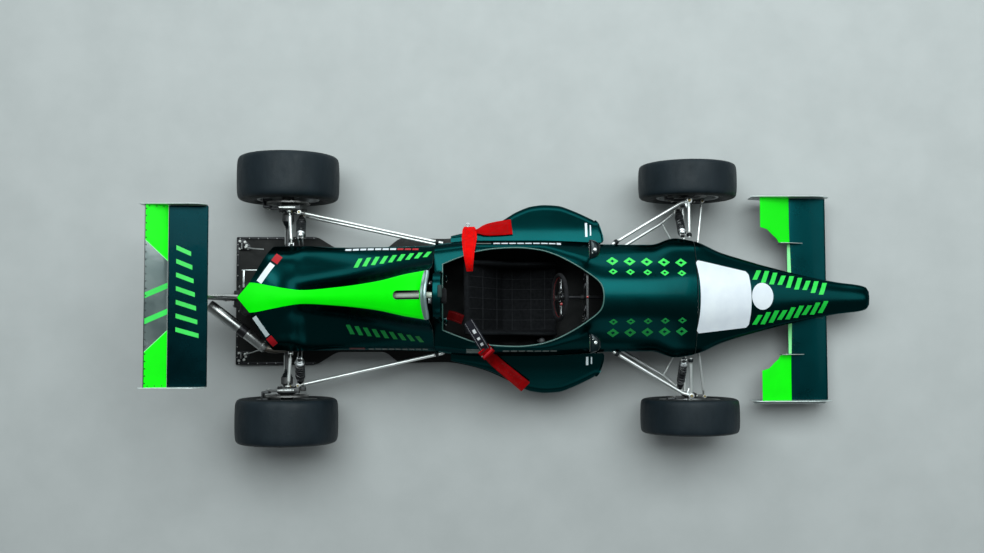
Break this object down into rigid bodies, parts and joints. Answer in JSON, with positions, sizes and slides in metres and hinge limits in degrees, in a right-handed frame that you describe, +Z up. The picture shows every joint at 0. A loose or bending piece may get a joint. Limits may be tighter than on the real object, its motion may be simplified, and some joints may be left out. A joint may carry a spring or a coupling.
{
  "type": "open wheel racing car",
  "caption": "Winged single-seat open wheel racing car with outboard wheels, low open cockpit, sidepods, front and rear wings, slick tyres and working steering.",
  "frame": {"origin": "on the ground under the middle of the car's bounding box", "axes": "+X forward along the car, +Y to the car's left, +Z up"},
  "size_m": [4.03, 1.645, 0.9459],
  "materials": {
    "body_paint": "dark green gloss paint",
    "wing_paint": "dark blue green gloss paint",
    "flap_paint": "bright green gloss paint",
    "plate_alloy": "satin plate",
    "floor_black": "matt black",
    "engine_iron": "cast",
    "gearbox_alloy": "cast, dull",
    "tube_steel": "bright plated tube",
    "damper_black": "black",
    "exhaust_steel": "heat stained",
    "seat_fabric": "black cloth",
    "webbing": "red woven webbing",
    "wheel_rim_grip": "black suede grip",
    "tyre_rubber": "slick, matt",
    "rim_alloy": "satin",
    "brake_iron": "machined"
  },
  "bodies": {
    "chassis": {"chassis_tub": "body_paint", "cockpit_surround": "body_paint", "dampers": "damper_black", "dash_panel": "floor_black", "engine_block": "engine_iron", "engine_cover": "body_paint", "exhaust": "exhaust_steel", "front_lower_wishbones": "tube_steel", "front_upper_wishbones": "tube_steel", "front_wing_endplates": "plate_alloy", "front_wing_flaps": "flap_paint", "front_wing_main": "wing_paint", "gear_lever": "tube_steel", "gearbox": "gearbox_alloy", "harness_straps": "webbing", "headrest": "seat_fabric", "left_sidepod": "body_paint", "mirrors": "body_paint", "nose_cone": "body_paint", "radiators": "floor_black", "radius_rods": "tube_steel", "rear_links": "tube_steel", "rear_uprights": "plate_alloy", "rear_wing_endplates": "plate_alloy", "rear_wing_flap": "flap_paint", "rear_wing_main": "wing_paint", "rear_wing_post": "plate_alloy", "right_sidepod": "body_paint", "roll_hoop": "body_paint", "seat": "seat_fabric", "undertray": "floor_black"},
    "left_front_upright": {"left_front_upright": "plate_alloy"},
    "right_front_upright": {"right_front_upright": "plate_alloy"},
    "steering_rack": {"steering_rack": "tube_steel"},
    "steering_wheel": {"steering_wheel": "wheel_rim_grip"},
    "left_front_wheel": {"left_front_tyre": "tyre_rubber", "left_front_rim": "rim_alloy", "left_front_brake_disc": "brake_iron"},
    "left_rear_wheel": {"left_rear_tyre": "tyre_rubber", "left_rear_rim": "rim_alloy", "left_rear_brake_disc": "brake_iron", "left_driveshaft": "tube_steel"},
    "right_front_wheel": {"right_front_tyre": "tyre_rubber", "right_front_rim": "rim_alloy", "right_front_brake_disc": "brake_iron"},
    "right_rear_wheel": {"right_rear_tyre": "tyre_rubber", "right_rear_rim": "rim_alloy", "right_rear_brake_disc": "brake_iron", "right_driveshaft": "tube_steel"}
  },
  "joints": [
    {"name": "steer_left", "type": "hinge", "parent": "chassis", "child": "left_front_upright", "pos_m": [0.949, 0.552, 0.281], "axis": [0, 0, 1], "range_deg": [-18, 18]},
    {"name": "steer_right", "type": "hinge", "parent": "chassis", "child": "right_front_upright", "pos_m": [0.949, -0.552, 0.281], "axis": [0, 0, 1], "range_deg": [-18, 18]},
    {"name": "rack_travel", "type": "slide", "parent": "chassis", "child": "steering_rack", "axis": [0, 1, 0], "range_m": [-0.03, 0.03]},
    {"name": "steering_wheel_turn", "type": "hinge", "parent": "chassis", "child": "steering_wheel", "pos_m": [0.202, 0, 0.52], "axis": [-0.969, 0, 0.247], "range_deg": [-220, 220]},
    {"name": "left_front_roll", "type": "hinge", "parent": "left_front_upright", "child": "left_front_wheel", "pos_m": [0.957, 0.67, 0.281], "axis": [0, 1, 0], "continuous": true},
    {"name": "right_front_roll", "type": "hinge", "parent": "right_front_upright", "child": "right_front_wheel", "pos_m": [0.957, -0.67, 0.281], "axis": [0, 1, 0], "continuous": true},
    {"name": "left_rear_roll", "type": "hinge", "parent": "chassis", "child": "left_rear_wheel", "pos_m": [-1.343, 0.6925, 0.292], "axis": [0, 1, 0], "continuous": true},
    {"name": "right_rear_roll", "type": "hinge", "parent": "chassis", "child": "right_rear_wheel", "pos_m": [-1.343, -0.6925, 0.292], "axis": [0, 1, 0], "continuous": true}
  ],
  "couplings": [
    {"joint": "steer_right", "follows": "steer_left", "ratio": 1},
    {"joint": "rack_travel", "follows": "steer_left", "m_per_rad": 0.0905},
    {"joint": "steering_wheel_turn", "follows": "steer_left", "ratio": 12}
  ]
}
